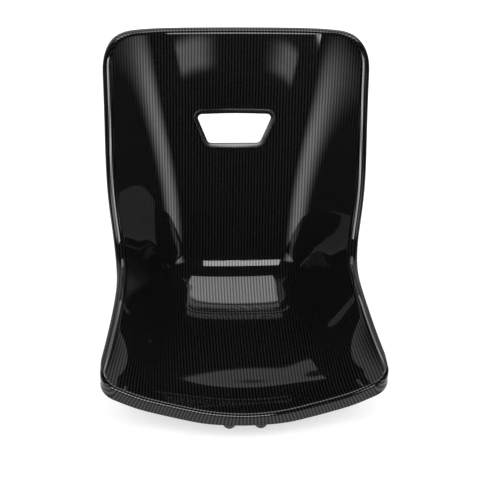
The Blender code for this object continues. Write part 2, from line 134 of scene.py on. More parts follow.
def fromSections(along, column):
    places = [section[0] for section in bucket["sections"]]
    values = [section[column] for section in bucket["sections"]]
    slopes = np.diff(values) / np.diff(places)
    found = values[0] + slopes[0] * (along - places[0])
    for i in range(1, len(places) - 1):
        window = 2 * min(places[i] - places[i - 1], places[i + 1] - places[i])
        found = found + (slopes[i] - slopes[i - 1]) * window * easedRamp((along - places[i]) / window)
    return found


def heading(along):
    found = np.full_like(along, bucket["recline"])
    for place, angle, length in bucket["turns"]:
        found = found + angle * easedStep((along - place) / length)
    return found


# The walls follow the same line with its turns spread out
def softened(values):
    window = np.hanning(round(bucket["wallSpread"] / centrelineStep))
    reach = len(window) // 2
    before = values[0] + (values[1] - values[0]) * np.arange(-reach, 0)
    after = values[-1] + (values[-1] - values[-2]) * np.arange(1, len(window) - reach)
    return np.convolve(np.concatenate([before, values, after]), window / window.sum(), "valid")


lineAlong = np.arange(
    -bucket["backLength"] - centrelineMargin, bucket["panLength"] + centrelineMargin, centrelineStep
)
lineY = np.cumsum(-np.sin(heading(lineAlong))) * centrelineStep
lineZ = np.cumsum(-np.cos(heading(lineAlong))) * centrelineStep
wallY = softened(lineY)
wallZ = softened(lineZ)


def wallBend(x, start, bend):
    sides = np.logaddexp(0, (x - start) / bend) + np.logaddexp(0, (-x - start) / bend)
    return bend * (sides - 2 * np.logaddexp(0, -start / bend))


def wallShare(x, along):
    halfWidth, start, bend = (fromSections(along, i) for i in (1, 3, 4))
    return np.maximum(wallBend(x, start, bend) / wallBend(halfWidth, start, bend), 0)


def depth(x, along):
    halfWidth, wallDepth, curl, hollow = (fromSections(along, i) for i in (1, 2, 5, 7))
    walls = (wallDepth - hollow * halfWidth**2) * wallShare(x, along) ** curl
    reach = (x / slot["dishWidth"]) ** 2 + ((along - slot["top"]) / slot["dishHeight"]) ** 2
    return hollow * x**2 + walls - slot["dishDepth"] * np.maximum(1 - reach, 0) ** 3


def rawSurface(x, along):
    x, along = np.broadcast_arrays(np.asarray(x, float), np.asarray(along, float))
    lean = np.radians(fromSections(along, 6))
    out = depth(x, along)
    fade = easedStep(wallShare(x, along) / bucket["creaseFade"] - 0.5)
    spineY, spineZ = (np.interp(along, lineAlong, values) for values in (lineY, lineZ))
    sideY, sideZ = (np.interp(along, lineAlong, values) for values in (wallY, wallZ))
    baseY = spineY + fade * (sideY - spineY)
    baseZ = spineZ + fade * (sideZ - spineZ)
    return np.stack([x, baseY - np.cos(lean) * out, baseZ + np.sin(lean) * out], axis=-1)


def unit(vectors):
    return vectors / np.linalg.norm(vectors, axis=-1, keepdims=True)


# Points towards the sitter
def surfaceNormal(x, along):
    x, along = np.broadcast_arrays(np.asarray(x, float), np.asarray(along, float))
    across = rawSurface(x + slopeStep, along) - rawSurface(x - slopeStep, along)
    down = rawSurface(x, along + slopeStep) - rawSurface(x, along - slopeStep)
    return unit(np.cross(down, across))


def lipReach(x):
    halfWidth = fromSections(bucket["panLength"], 1)
    ease = bucket["lipCreaseEase"]
    middle = bucket["lipMiddle"]
    beyond = easedRamp((np.abs(x) - middle) / ease) * ease
    within = np.abs(x) - beyond
    slope = (bucket["lipSweep"] - bucket["lipBow"]) / (halfWidth - middle)
    return bucket["panLength"] - bucket["lipBow"] * (within / middle) ** 2 - slope * beyond


def cornerInset(distance, corner):
    width, height, squareness = corner
    left = np.clip(1 - distance / height, 0, 1)
    return width * (1 - (1 - left**squareness) ** (1 / squareness))


# Places along the side of a rounded corner, from its end inwards
def cornerPlaces(corner, rows):
    _, height, squareness = corner
    swings = np.linspace(0, math.pi / 2, rows + 1)
    return height * (1 - np.cos(swings) ** (2 / squareness))


def sidePlaces():
    end = float(lipReach(fromSections(bucket["panLength"], 1)))
    top = -bucket["backLength"] + cornerPlaces(bucket["topCorner"], bucket["cornerRows"])
    lip = end - cornerPlaces(bucket["lipCorner"], bucket["lipCornerRows"])
    fine = np.linspace(top[-1], lip[-1], bucket["rowSamples"])
    crowding = fine / bucket["rowStep"] + heading(fine) / bucket["rowTurn"]
    rows = math.ceil(crowding[-1] - crowding[0])
    middle = np.interp(np.linspace(crowding[0], crowding[-1], rows + 1), crowding, fine)
    return np.concatenate([top[:-1], middle, lip[-2::-1]])


# Rows of (distance from the middle, place along, distance travelled across the laminate)
def bucketGrid():
    end = float(lipReach(fromSections(bucket["panLength"], 1)))
    across, along, travel = [], [], []
    for place in sidePlaces():
        halfWidth = float(fromSections(place, 1))
        halfWidth -= float(cornerInset(place + bucket["backLength"], bucket["topCorner"]))
        halfWidth -= float(cornerInset(end - place, bucket["lipCorner"]))
        fine = np.linspace(0, halfWidth, bucket["columnSamples"])
        steps = np.hypot(np.diff(fine), np.diff(depth(fine, place)))
        travelled = np.concatenate([[0], np.cumsum(steps)])
        stops = np.linspace(0, travelled[-1], bucket["columns"] // 2 + 1)
        right = np.interp(stops, travelled, fine)
        row = np.concatenate([-right[:0:-1], right])
        sweep = max(0, (place - bucket["sweepStart"]) / (end - bucket["sweepStart"])) ** 2
        across.append(row)
        along.append(place + (lipReach(row) - end) * sweep)
        travel.append(np.concatenate([-stops[:0:-1], stops]))
    return np.array(across), np.array(along), np.array(travel)


def ringOf(values):
    return np.concatenate([values[0, :-1], values[:-1, -1], values[-1, :0:-1], values[:0:-1, 0]])


# The rolled rim and its return, ring by ring, with the way each point faces and the laminate used so far
def rimRings(across, along):
    x, place = ringOf(across), ringOf(along)
    border = rawSurface(x, place)
    normal = surfaceNormal(x, place)
    tangent = unit(np.roll(border, -1, axis=0) - np.roll(border, 1, axis=0))
    outward = unit(np.cross(normal, tangent))
    lean = np.radians(fromSections(place, 6))
    upward = np.stack([0 * x, -np.cos(lean), np.sin(lean)], axis=-1)
    last = np.arctan2(np.sum(normal * upward, axis=1), -np.sum(outward * upward, axis=1))
    fromTop = (place + bucket["backLength"]) / bucket["rollBlend"]
    fromLip = (lipReach(x) - place) / bucket["rollBlend"]
    roll = bucket["sideRoll"] + (bucket["topRoll"] - bucket["sideRoll"]) * easedStep(0.5 - fromTop)
    roll = roll + (bucket["lipRoll"] - bucket["sideRoll"]) * easedStep(0.5 - fromLip)
    lipReturn = bucket["lipReturn"] + (bucket["lipEndReturn"] - bucket["lipReturn"]) * easedStep(
        np.abs(x) / bucket["lipMiddle"] - 0.5
    )
    back = bucket["sideReturn"] + (bucket["topReturn"] - bucket["sideReturn"]) * easedStep(0.5 - fromTop)
    back = back + (lipReturn - bucket["sideReturn"]) * easedStep(0.5 - fromLip)
    rings, facings, used = [], [], []
    for step in range(1, bucket["rollSteps"] + 1):
        turn = (last * step / bucket["rollSteps"])[:, None]
        facings.append(np.sin(turn) * outward + np.cos(turn) * normal)
        rings.append(border + roll[:, None] * (facings[-1] - normal))
        used.append(roll * turn[:, 0])
    turn = last[:, None]
    direction = np.cos(turn) * outward - np.sin(turn) * normal
    start, startUsed = rings[-1], used[-1]
    for step in range(1, bucket["returnSteps"] + 1):
        reach = back * step / bucket["returnSteps"]
        rings.append(start + reach[:, None] * direction)
        facings.append(facings[bucket["rollSteps"] - 1])
        used.append(startUsed + reach)
    return rings, facings, used


# Outline of the slot as (distance from the middle, place along), grown by outset
def slotOutline(outset):
    half = slot["height"] / 2
    slant = math.atan2((slot["topWidth"] - slot["bottomWidth"]) / 2, slot["height"])
    corners = (
        (slot["topWidth"] / 2, half, slot["topRadius"], 0.0, math.pi / 2 + slant),
        (slot["bottomWidth"] / 2, -half, slot["bottomRadius"], math.pi / 2 + slant, math.pi),
    )
    right = []
    for x, up, radius, first, last in corners:
        bisector = (first + last) / 2
        reach = radius / math.cos((last - first) / 2)
        middleX = x - reach * math.sin(bisector)
        middleUp = up - reach * math.cos(bisector)
        for angle in np.linspace(first, last, slot["cornerPoints"]):
            right.append((middleX, middleUp, radius, math.sin(angle), math.cos(angle)))
    stops = [*right, *[(-x, up, radius, -dx, dy) for x, up, radius, dx, dy in reversed(right)]]
    found = []
    for start, end in zip(stops, stops[1:] + stops[:1]):
        places = [(x + radius * dx, up + radius * dy) for x, up, radius, dx, dy in (start, end)]
        pieces = max(1, math.ceil(math.dist(*places) / slot["straightStep"]))
        for i in range(pieces):
            share = i / pieces
            x, up = ((1 - share) * a + share * b for a, b in zip(*places))
            dx, dy = ((1 - share) * a + share * b for a, b in zip(start[3:], end[3:]))
            found.append((x + outset * dx, slot["middle"] - up - outset * dy))
    return np.array(found)


def insideOutline(points, outline):
    inside = np.zeros(len(points), bool)
    for start, end in zip(outline, np.roll(outline, -1, axis=0)):
        crosses = (start[1] > points[:, 1]) != (end[1] > points[:, 1])
        height = np.where(end[1] == start[1], 1e-9, end[1] - start[1])
        atX = start[0] + (points[:, 1] - start[1]) / height * (end[0] - start[0])
        inside ^= crosses & (points[:, 0] < atX)
    return inside


def nearestOnOutline(point, outline):
    starts = outline
    spans = np.roll(outline, -1, axis=0) - outline
    shares = np.clip(np.sum((point - starts) * spans, axis=1) / np.sum(spans**2, axis=1), 0, 1)
    feet = starts + shares[:, None] * spans
    return feet[np.argmin(np.sum((feet - point) ** 2, axis=1))]


def joined(outer, inner):
    following = np.roll(np.arange(len(outer)), -1)
    return [(inner[k], inner[n], outer[n], outer[k]) for k, n in enumerate(following)]


def meshFrom(name, points, faces, edges=()):
    mesh = bpy.data.meshes.new(name)
    mesh.from_pydata(
        [tuple(map(float, point)) for point in points],
        [tuple(map(int, edge)) for edge in edges],
        [tuple(map(int, face)) for face in faces],
    )
    return mesh


def objectFrom(name, mesh):
    obj = bpy.data.objects.new(name, mesh)
    bpy.context.scene.collection.objects.link(obj)
    return obj


def smoothed(obj, sharpFrom):
    obj.data.shade_smooth()
    obj.data.set_sharp_from_angle(angle=sharpFrom)


def vectorAttribute(mesh, name, values):
    attribute = mesh.attributes.new(name, "FLOAT_VECTOR", "POINT")
    attribute.data.foreach_set("vector", np.asarray(values, np.float32).ravel())


def addNode(tree, kind, **settings):
    made = tree.nodes.new(kind)
    for key, value in settings.items():
        setattr(made, key, value)
    return made


# Trees: each is built here, run on an object, and leaves a plain mesh

def newTree(name, inputs):
    tree = bpy.data.node_groups.new(name, "GeometryNodeTree")
    face = tree.interface
    face.new_socket("Geometry", in_out="INPUT", socket_type="NodeSocketGeometry")
    ids = {}
    for title, kind, value in (*inputs, ("Finish", "Material", None)):
        socket = face.new_socket(title, in_out="INPUT", socket_type="NodeSocket" + kind)
        if value is not None:
            socket.default_value = value
        ids[title] = socket.identifier
    face.new_socket("Geometry", in_out="OUTPUT", socket_type="NodeSocketGeometry")
    return tree, ids, addNode(tree, "NodeGroupInput")


# Every tree ends with its instances made real and its finish put on
def endTree(tree, source, geometry):
    realize = addNode(tree, "GeometryNodeRealizeInstances")
    finish = addNode(tree, "GeometryNodeSetMaterial")
    result = addNode(tree, "NodeGroupOutput")
    tree.links.new(geometry, realize.inputs[0])
    tree.links.new(realize.outputs[0], finish.inputs["Geometry"])
    tree.links.new(source.outputs["Finish"], finish.inputs["Material"])
    tree.links.new(finish.outputs[0], result.inputs[0])


def addFacing(tree):
    facing = addNode(tree, "GeometryNodeInputNamedAttribute", data_type="FLOAT_VECTOR")
    facing.inputs["Name"].default_value = "facing"
    return facing.outputs[0]


def runTree(obj, tree, ids, values):
    modifier = obj.modifiers.new(tree.name, "NODES")
    modifier.node_group = tree
    for title, value in values.items():
        modifier[ids[title]] = value
    bpy.context.view_layer.update()
    evaluated = obj.evaluated_get(bpy.context.evaluated_depsgraph_get())
    mesh = bpy.data.meshes.new_from_object(evaluated)
    obj.modifiers.clear()
    old = obj.data
    obj.data = mesh
    bpy.data.meshes.remove(old)
    return obj


# Gives a sheet that faces the sitter its wall, and closes it all round
def laminateTree():
    tree, ids, source = newTree("laminateWall", (("Wall", "Float", 0.003),))
    flip = addNode(tree, "GeometryNodeFlipFaces")
    back = addNode(tree, "ShaderNodeMath", operation="MULTIPLY")
    back.inputs[1].default_value = -1
    extrude = addNode(tree, "GeometryNodeExtrudeMesh", mode="FACES")
    extrude.inputs["Individual"].default_value = False
    mark = addNode(tree, "GeometryNodeStoreNamedAttribute", data_type="FLOAT", domain="FACE")
    mark.inputs["Name"].default_value = "rear"
    mark.inputs["Value"].default_value = 1.0
    join = addNode(tree, "GeometryNodeJoinGeometry")
    merge = addNode(tree, "GeometryNodeMergeByDistance")
    merge.inputs["Distance"].default_value = closeEnough
    links = tree.links
    links.new(source.outputs["Geometry"], flip.inputs[0])
    links.new(flip.outputs[0], extrude.inputs["Mesh"])
    links.new(addFacing(tree), extrude.inputs["Offset"])
    links.new(source.outputs["Wall"], back.inputs[0])
    links.new(back.outputs[0], extrude.inputs["Offset Scale"])
    links.new(extrude.outputs["Mesh"], mark.inputs["Geometry"])
    links.new(extrude.outputs["Top"], mark.inputs["Selection"])
    links.new(source.outputs["Geometry"], join.inputs[0])
    links.new(mark.outputs[0], join.inputs[0])
    links.new(join.outputs[0], merge.inputs[0])
    endTree(tree, source, merge.outputs[0])
    return tree, ids


# Sweeps a section along a loop of edges, turned by the loop's own "facing"
def sweepTree():
    tree, ids, source = newTree("sweepAlongLoop", (("Section", "Object", None),))
    toCurve = addNode(tree, "GeometryNodeMeshToCurve")
    turn = addNode(tree, "GeometryNodeSetCurveNormal", mode="FREE")
    section = addNode(tree, "GeometryNodeObjectInfo")
    sectionCurve = addNode(tree, "GeometryNodeMeshToCurve")
    sweep = addNode(tree, "GeometryNodeCurveToMesh")
    links = tree.links
    links.new(source.outputs["Geometry"], toCurve.inputs[0])
    links.new(toCurve.outputs[0], turn.inputs[0])
    links.new(addFacing(tree), turn.inputs["Normal"])
    links.new(source.outputs["Section"], section.inputs[0])
    links.new(section.outputs["Geometry"], sectionCurve.inputs[0])
    links.new(turn.outputs[0], sweep.inputs["Curve"])
    links.new(sectionCurve.outputs[0], sweep.inputs["Profile Curve"])
    endTree(tree, source, sweep.outputs[0])
    return tree, ids


# Puts one turned piece at each point of the geometry
def standTree():
    tree, ids, source = newTree("standAtFeet", (("Piece", "Object", None),))
    piece = addNode(tree, "GeometryNodeObjectInfo")
    place = addNode(tree, "GeometryNodeInstanceOnPoints")
    tree.links.new(source.outputs["Geometry"], place.inputs["Points"])
    tree.links.new(source.outputs["Piece"], piece.inputs[0])
    tree.links.new(piece.outputs["Geometry"], place.inputs["Instance"])
    endTree(tree, source, place.outputs[0])
    return tree, ids


# Shader groups

def newGroup(name, inputs, outputs):
    group = bpy.data.node_groups.new(name, "ShaderNodeTree")
    for title, kind, value in inputs:
        socket = group.interface.new_socket(title, in_out="INPUT", socket_type="NodeSocket" + kind)
        if value is not None:
            socket.default_value = value
    for title, kind in outputs:
        group.interface.new_socket(title, in_out="OUTPUT", socket_type="NodeSocket" + kind)
    return group, addNode(group, "NodeGroupInput"), addNode(group, "NodeGroupOutput")


# Short ways to write sums in a shader tree
class Sums:
    def __init__(self, tree):
        self.tree = tree

    def do(self, operation, *values):
        made = addNode(self.tree, "ShaderNodeMath", operation=operation)
        for i, value in enumerate(values):
            if isinstance(value, (int, float)):
                made.inputs[i].default_value = value
            else:
                self.tree.links.new(value, made.inputs[i])
        return made.outputs[0]

    def mixed(self, share, first, second):
        left = self.do("MULTIPLY", self.do("SUBTRACT", 1.0, share), first)
        return self.do("ADD", left, self.do("MULTIPLY", share, second))

    def ramp(self, value, start, end, low, high):
        made = addNode(self.tree, "ShaderNodeMapRange", interpolation_type="SMOOTHSTEP")
        for key, number in zip(("From Min", "From Max", "To Min", "To Max"), (start, end, low, high)):
            made.inputs[key].default_value = number
        self.tree.links.new(value, made.inputs["Value"])
        return made.outputs[0]


# What the coated and the bare cloth share
cloth = {
    "towWidth": 0.0020,
    "flatness": 3.0,
    "shadeOffset": 4000.0,  # keeps the shades of crossing tows apart
    "strandScale": 1.0,
    "strandDetail": 2.0,
    "strandsAcross": 9.0,
    "strandsAlong": 1.2,
    "strandRoughening": 0.10,
    "gapNarrowing": 2.2,
    "gapSoftness": 0.2,
    "bumpStrength": 0.8,
}


# Twill of flat tows: each passes over two and under two, one step on from its neighbour
def twillGroup():
    group, source, result = newGroup(
        "twillWeave",
        (("Vector", "Vector", None), ("Tow Width", "Float", cloth["towWidth"]), ("Crown", "Float", 0.6)),
        (("Warp", "Float"), ("Height", "Float"), ("Tow Shade", "Float"), ("Strands", "Float")),
    )
    sums = Sums(group)
    parts = addNode(group, "ShaderNodeSeparateXYZ")
    group.links.new(source.outputs["Vector"], parts.inputs[0])
    diagonal = sums.do("MULTIPLY", source.outputs["Tow Width"], math.sqrt(2))
    warpPlace = sums.do("DIVIDE", sums.do("ADD", parts.outputs[0], parts.outputs[1]), diagonal)
    weftPlace = sums.do("DIVIDE", sums.do("SUBTRACT", parts.outputs[0], parts.outputs[1]), diagonal)
    warpIndex, weftIndex = sums.do("FLOOR", warpPlace), sums.do("FLOOR", weftPlace)
    warpPart, weftPart = sums.do("FRACT", warpPlace), sums.do("FRACT", weftPlace)
    phase = sums.do("FLOORED_MODULO", sums.do("ADD", warpIndex, weftIndex), 4.0)
    warp = sums.do("LESS_THAN", phase, 1.5)
    acrossTow = sums.mixed(warp, weftPart, warpPart)
    onFloat = sums.do("SUBTRACT", phase, sums.mixed(warp, 2.0, 0.0))
    alongTow = sums.do("MULTIPLY", sums.do("ADD", onFloat, sums.mixed(warp, warpPart, weftPart)), 0.5)
    fromMiddle = sums.do("ABSOLUTE", sums.do("SUBTRACT", sums.do("MULTIPLY", acrossTow, 2.0), 1.0))
    flatTop = sums.do("SUBTRACT", 1.0, sums.do("POWER", fromMiddle, cloth["flatness"]))
    arch = sums.do("SINE", sums.do("MULTIPLY", alongTow, math.pi))
    arched = sums.mixed(source.outputs["Crown"], 1.0, arch)
    group.links.new(sums.do("MULTIPLY", flatTop, arched), result.inputs["Height"])
    group.links.new(warp, result.inputs["Warp"])
    # every tow has its own shade, and every float of it a little more
    towIndex = sums.mixed(warp, sums.do("ADD", weftIndex, cloth["shadeOffset"]), warpIndex)
    noise = addNode(group, "ShaderNodeTexWhiteNoise", noise_dimensions="2D")
    combine = addNode(group, "ShaderNodeCombineXYZ")
    group.links.new(towIndex, combine.inputs[0])
    otherIndex = sums.mixed(warp, warpIndex, weftIndex)
    floatIndex = sums.do("FLOOR", sums.do("DIVIDE", sums.do("SUBTRACT", otherIndex, onFloat), 2.0))
    group.links.new(floatIndex, combine.inputs[1])
    group.links.new(combine.outputs[0], noise.inputs["Vector"])
    group.links.new(noise.outputs["Value"], result.inputs["Tow Shade"])
    # fine lines of the filaments along each tow
    strands = addNode(group, "ShaderNodeTexNoise", noise_dimensions="2D")
    strands.inputs["Scale"].default_value = cloth["strandScale"]
    strands.inputs["Detail"].default_value = cloth["strandDetail"]
    fine = addNode(group, "ShaderNodeCombineXYZ")
    strandPlace = sums.do("MULTIPLY", sums.do("ADD", acrossTow, towIndex), cloth["strandsAcross"])
    group.links.new(strandPlace, fine.inputs[0])
    group.links.new(sums.do("MULTIPLY", alongTow, cloth["strandsAlong"]), fine.inputs[1])
    group.links.new(fine.outputs[0], strands.inputs["Vector"])
    group.links.new(strands.outputs[0], result.inputs["Strands"])
    return group


def newMaterial(name):
    made = bpy.data.materials.new(name)
    made.use_nodes = True
    tree = made.node_tree
    return made, tree, tree.nodes["Principled BSDF"], Sums(tree)


def mixedColour(tree, share, first, second):
    mix = addNode(tree, "ShaderNodeMix", data_type="RGBA")
    sockets = {"Factor": mix.inputs[0], "A": mix.inputs[6], "B": mix.inputs[7]}
    for key, value in (("Factor", share), ("A", first), ("B", second)):
        if isinstance(value, tuple):
            sockets[key].default_value = (*value, 1)
        elif isinstance(value, (int, float)):
            sockets[key].default_value = value
        else:
            tree.links.new(value, sockets[key])
    return mix.outputs[2]


twill = twillGroup()

carbon = {
    # warp and weft are the same cloth: the lighter warp colour and darker weft colour are painted sheen and
    # painted shade of the fibres' direction
    "warpColourPaintedSheen": (0.0112, 0.0114, 0.0118),
    "weftColourPaintedShade": (0.0008, 0.0008, 0.0008),
    "gapColour": (0.0008, 0.0008, 0.0008),
    "warpRoughness": 0.34,
    "weftRoughness": 0.46,
    "bump": 0.00012,
    "towVariation": 0.25,
    "coatRoughness": 0.035,
    "coatIndex": 1.5,
    "rearDulling": 0.75,
    "rearRoughening": 0.12,
    "sunkShine": 0.42,
    "specular": 0.008,
}


# Laminate whose weave runs down the moulding; the rear face of the shell has a thinner, duller coat
def carbonMaterial(name):
    made, tree, shader, sums = newMaterial(name)
    uv = addNode(tree, "ShaderNodeUVMap", uv_map="weave")
    rear = addNode(tree, "ShaderNodeAttribute", attribute_name="rear")
    rough, warp = layWeave(tree, shader, sums, uv.outputs[0], carbon)
    coat = sums.do("SUBTRACT", 1.0, sums.do("MULTIPLY", rear.outputs["Fac"], carbon["rearDulling"]))
    # the resin sinks a little over the weft tows, whose dark colour is painted shade, so they shine less
    coat = sums.do("MULTIPLY", coat, sums.mixed(warp, carbon["sunkShine"], 1.0))
    tree.links.new(coat, shader.inputs["Coat Weight"])
    rough = sums.do("ADD", rough, sums.do("MULTIPLY", rear.outputs["Fac"], carbon["rearRoughening"]))
    tree.links.new(rough, shader.inputs["Roughness"])
    shader.inputs["Coat Roughness"].default_value = carbon["coatRoughness"]
    shader.inputs["Coat IOR"].default_value = carbon["coatIndex"]
    return made


rawLaminate = {
    # the lighter warp colour and darker weft colour are painted sheen and painted shade of the fibres'
    # direction, not a difference in the cloth
    "warpColourPaintedSheen": (0.0210, 0.0214, 0.0220),
    "weftColourPaintedShade": (0.0080, 0.0082, 0.0085),
    "gapColour": (0.0030, 0.0030, 0.0030),
    "towVariation": 0.30,
    "warpRoughness": 0.46,
    "weftRoughness": 0.58,
    "bump": 0.00015,
    "specular": 0.35,
}


# The same cloth left bare, laid flat on whichever way the face looks
def rawLaminateMaterial(name):
    made, tree, shader, sums = newMaterial(name)
    place = addNode(tree, "ShaderNodeTexCoord")
    parts = addNode(tree, "ShaderNodeSeparateXYZ")
    face = addNode(tree, "ShaderNodeSeparateXYZ")
    tree.links.new(place.outputs["Object"], parts.inputs[0])
    tree.links.new(place.outputs["Normal"], face.inputs[0])
    faceY, faceZ = sums.do("ABSOLUTE", face.outputs[1]), sums.do("ABSOLUTE", face.outputs[2])
    upright = sums.do("GREATER_THAN", faceY, faceZ)
    flat = addNode(tree, "ShaderNodeCombineXYZ")
    tree.links.new(parts.outputs[0], flat.inputs[0])
    tree.links.new(sums.mixed(upright, parts.outputs[1], parts.outputs[2]), flat.inputs[1])
    rough, _ = layWeave(tree, shader, sums, flat.outputs[0], rawLaminate)
    tree.links.new(rough, shader.inputs["Roughness"])
    return made


# Colour and bump of the cloth, with the warp tows painted lighter and the weft tows darker as painted sheen
# of the fibres' direction; returns its roughness and which tows are on top
def layWeave(tree, shader, sums, vector, look):
    weave = addNode(tree, "ShaderNodeGroup", node_tree=twill)
    tree.links.new(vector, weave.inputs["Vector"])
    warp, height, shade = weave.outputs["Warp"], weave.outputs["Height"], weave.outputs["Tow Shade"]
    # painted sheen: warp tows take the lighter colour and weft tows the darker one, standing in for how the
    # fibres catch the light
    base = mixedColour(tree, warp, look["weftColourPaintedShade"], look["warpColourPaintedSheen"])
    base = mixedColour(tree, sums.do("MULTIPLY", shade, look["towVariation"]), base, look["gapColour"])
    raised = sums.do("MULTIPLY", height, cloth["gapNarrowing"])
    gap = sums.do("SUBTRACT", 1.0, sums.do("SMOOTH_MIN", raised, 1.0, cloth["gapSoftness"]))
    base = mixedColour(tree, gap, base, look["gapColour"])
    tree.links.new(base, shader.inputs["Base Color"])
    rough = sums.mixed(warp, look["weftRoughness"], look["warpRoughness"])
    rough = sums.do("ADD", rough, sums.do("MULTIPLY", weave.outputs["Strands"], cloth["strandRoughening"]))
    bump = addNode(tree, "ShaderNodeBump")
    bump.inputs["Strength"].default_value = cloth["bumpStrength"]
    bump.inputs["Distance"].default_value = look["bump"]
    tree.links.new(height, bump.inputs["Height"])
    tree.links.new(bump.outputs[0], shader.inputs["Normal"])
    shader.inputs["Specular IOR Level"].default_value = look["specular"]
    return rough, warp



uneven = {"grainDetail": 3.0, "cloudDetail": 2.0, "marksPerMetre": 4000.0, "bumpStrength": 0.6}


# Uneven finishes of the small pieces: fine grain, wide clouds and turning marks
def grainGroup():
    group, source, result = newGroup(
        "unevenFinish",
        (("Vector", "Vector", None), ("Grain", "Float", 900.0), ("Cloud", "Float", 60.0)),
        (("Grain", "Float"), ("Cloud", "Float"), ("Scratch", "Float")),
    )
    for title, detail in (("Grain", uneven["grainDetail"]), ("Cloud", uneven["cloudDetail"])):
        noise = addNode(group, "ShaderNodeTexNoise")
        noise.inputs["Detail"].default_value = detail
        group.links.new(source.outputs["Vector"], noise.inputs["Vector"])
        group.links.new(source.outputs[title], noise.inputs["Scale"])
        group.links.new(noise.outputs[0], result.inputs[title])
    # turning marks run round the piece, so they change with height only
    rings = addNode(group, "ShaderNodeTexNoise", noise_dimensions="1D")
    rings.inputs["Scale"].default_value = uneven["marksPerMetre"]
    parts = addNode(group, "ShaderNodeSeparateXYZ")
    group.links.new(source.outputs["Vector"], parts.inputs[0])
    group.links.new(parts.outputs[2], rings.inputs["W"])
    group.links.new(rings.outputs[0], result.inputs["Scratch"])
    return group


grain = grainGroup()

finishes = {
    "trimRubber": {
        "colour": (0.0020, 0.0020, 0.0021), "second": (0.0036, 0.0036, 0.0037), "roughness": (0.14, 0.22),
        "metallic": 0.0, "grain": 1400.0, "cloud": 45.0, "bump": 0.00003, "turned": 0.0,
    },
    "footRubber": {
        "colour": (0.0110, 0.0110, 0.0110), "second": (0.0200, 0.0196, 0.0190), "roughness": (0.52, 0.72),
        "metallic": 0.0, "grain": 900.0, "cloud": 70.0, "bump": 0.00008, "turned": 0.15,
    },
    "insertAlloy": {
        "colour": (0.50, 0.51, 0.53), "second": (0.40, 0.41, 0.43), "roughness": (0.26, 0.40),
        "metallic": 1.0, "grain": 1200.0, "cloud": 120.0, "bump": 0.00002, "turned": 0.8,
    },
    "platedSteel": {
        "colour": (0.58, 0.57, 0.54), "second": (0.46, 0.45, 0.42), "roughness": (0.20, 0.34),
        "metallic": 1.0, "grain": 1000.0, "cloud": 150.0, "bump": 0.00002, "turned": 0.6,
    },
}


def plainMaterial(name):
    look = finishes[name]
    made, tree, shader, sums = newMaterial(name)
    place = addNode(tree, "ShaderNodeTexCoord")
    surfaceNoise = addNode(tree, "ShaderNodeGroup", node_tree=grain)
    tree.links.new(place.outputs["Object"], surfaceNoise.inputs["Vector"])
    surfaceNoise.inputs["Grain"].default_value = look["grain"]
    surfaceNoise.inputs["Cloud"].default_value = look["cloud"]
    base = mixedColour(tree, surfaceNoise.outputs["Cloud"], look["colour"], look["second"])
    tree.links.new(base, shader.inputs["Base Color"])
    low, high = look["roughness"]
    marks = sums.mixed(look["turned"], surfaceNoise.outputs["Grain"], surfaceNoise.outputs["Scratch"])
    tree.links.new(sums.mixed(marks, low, high), shader.inputs["Roughness"])
    shader.inputs["Metallic"].default_value = look["metallic"]
    bump = addNode(tree, "ShaderNodeBump")
    bump.inputs["Strength"].default_value = uneven["bumpStrength"]
    bump.inputs["Distance"].default_value = look["bump"]
    tree.links.new(marks, bump.inputs["Height"])
    tree.links.new(bump.outputs[0], shader.inputs["Normal"])
    return made


shellFinish = carbonMaterial("carbonClearCoat")
rawFinish = rawLaminateMaterial("carbonBare")
trimFinish, footFinish, insertFinish, steelFinish = map(plainMaterial, finishes)
print("materials made")


# Seat shell

def buildShell():
    across, along, travel = bucketGrid()
    rows, columns = across.shape
    x, place = across.ravel().copy(), along.ravel().copy()
    index = np.arange(rows * columns).reshape(rows, columns)
    quads = np.stack([index[:-1, :-1], index[1:, :-1], index[1:, 1:], index[:-1, 1:]], axis=-1).reshape(-1, 4)
    outline = slotOutline(slot["trimWall"] + slot["trimGap"])
    middles = np.stack([x[quads].mean(axis=1), place[quads].mean(axis=1)], axis=1)
    gone = insideOutline(middles, outline)
    # points on the edge of the hole move onto the cut line
    for point in np.intersect1d(quads[gone], quads[~gone]):
        x[point], place[point] = nearestOnOutline(np.array([x[point], place[point]]), outline)
    laid = travel.ravel().copy()
    faces = [tuple(quad) for quad in quads[~gone]]
    rings, facings, used = rimRings(across, along)
    previous = ringOf(index)
    count = rows * columns
    for _ in rings:
        current = np.arange(len(previous)) + count
        faces += joined(current, previous)
        count += len(current)
        previous = current
    points = np.concatenate([rawSurface(x, place), *rings])
    facing = np.concatenate([surfaceNormal(x, place), *facings])
    # the cloth runs on over the rim, straight out from the border
    borderU, borderV = ringOf(travel), ringOf(along)
    runU = np.roll(borderU, -1) - np.roll(borderU, 1)
    runV = np.roll(borderV, -1) - np.roll(borderV, 1)
    length = np.hypot(runU, runV)
    weaveU = np.concatenate([laid, *[borderU - runV / length * reach for reach in used]])
    weaveV = np.concatenate([place, *[borderV + runU / length * reach for reach in used]])
    return points, facing, faces, weaveU, weaveV


points, facing, faces, weaveU, weaveV = buildShell()
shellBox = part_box("seat_shell")
shift = (shellBox[0].y + shellBox[1].y) / 2 - (points[:, 1].min() + points[:, 1].max()) / 2
lift = shellBox[1].z - points[:, 2].max()
offset = np.array([0.0, shift, lift])


def surface(x, along):
    return rawSurface(x, along) + offset


